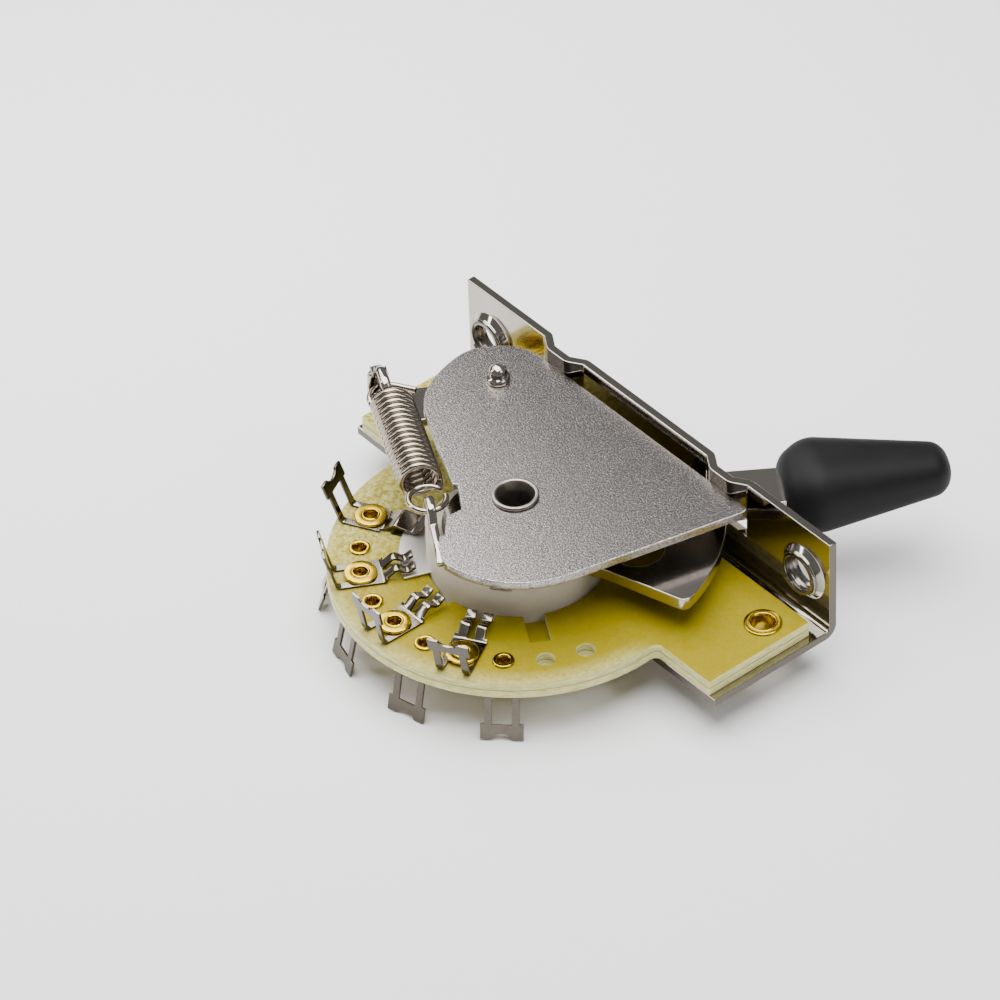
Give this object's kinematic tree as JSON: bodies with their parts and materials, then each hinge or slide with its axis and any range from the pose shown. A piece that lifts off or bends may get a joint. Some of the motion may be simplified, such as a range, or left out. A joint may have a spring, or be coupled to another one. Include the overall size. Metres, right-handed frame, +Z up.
{
  "type": "guitar pickup selector switch",
  "caption": "Open-frame rotary lever switch on a folded bracket, with a notched lever, sprung roller index, contact wafer and push-on knob.",
  "frame": {"origin": "on the mounting face of the flange, halfway between the two threaded holes", "axes": "+X along the flange from one threaded hole to the other, +Y out of the mounting face towards the knob, +Z up, away from the contact wafer"},
  "size_m": [0.0476, 0.0502, 0.0147],
  "materials": {
    "bright_nickel": "bright nickel plate on folded steel",
    "plated_steel": "satin nickel plate with a fine grain",
    "spring_wire": "drawn bright spring wire",
    "fibre_board": "yellow-green glass-fibre laminate, slightly translucent",
    "brass": "rolled brass eyelets",
    "tinned_contact": "tinned spring bronze",
    "nylon": "off-white moulded nylon",
    "black_knob": "satin black moulded plastic"
  },
  "bodies": {
    "frame_body": {"frame": "bright_nickel", "top_plate": "plated_steel", "lower_board": "fibre_board", "upper_board": "fibre_board", "pivot_eyelet": "plated_steel", "pivot_washer": "plated_steel", "index_pin": "plated_steel", "index_spring": "spring_wire", "frame_eyelet_left": "brass", "frame_eyelet_right": "brass", "top_clip_1": "tinned_contact", "top_clip_2": "tinned_contact", "top_clip_3": "tinned_contact", "top_clip_4": "tinned_contact", "bottom_clip_1": "tinned_contact", "bottom_clip_2": "tinned_contact", "bottom_clip_3": "tinned_contact", "bottom_clip_4": "tinned_contact", "top_eyelet_1": "brass", "top_eyelet_2": "brass", "top_eyelet_3": "brass", "top_eyelet_4": "brass", "bottom_eyelet_1": "brass", "bottom_eyelet_2": "brass", "bottom_eyelet_3": "brass", "bottom_eyelet_4": "brass"},
    "lever_body": {"lever": "plated_steel", "knob": "black_knob", "rotor": "nylon", "upper_rotor_blade": "tinned_contact", "lower_rotor_blade": "tinned_contact"},
    "arm_body": {"index_arm": "plated_steel", "roller_pin": "plated_steel"},
    "roller_body": {"index_roller": "plated_steel"}
  },
  "joints": [
    {"name": "lever_pivot", "type": "hinge", "parent": "frame_body", "child": "lever_body", "pos_m": [0, -0.0153, 0], "axis": [0, 0, 1], "range_deg": [0, 60]},
    {"name": "index_pivot", "type": "hinge", "parent": "frame_body", "child": "arm_body", "pos_m": [-0.0128, -0.0065, 0], "axis": [0, 0, 1], "range_deg": [-2.5, 4], "stiffness_Nm_per_rad": 0.15, "springref_deg": 18.91, "deforming": ["index_spring"]},
    {"name": "roller_spin", "type": "hinge", "parent": "arm_body", "child": "roller_body", "pos_m": [-0.00788, -0.01419, 0], "axis": [0, 0, 1], "continuous": true}
  ]
}
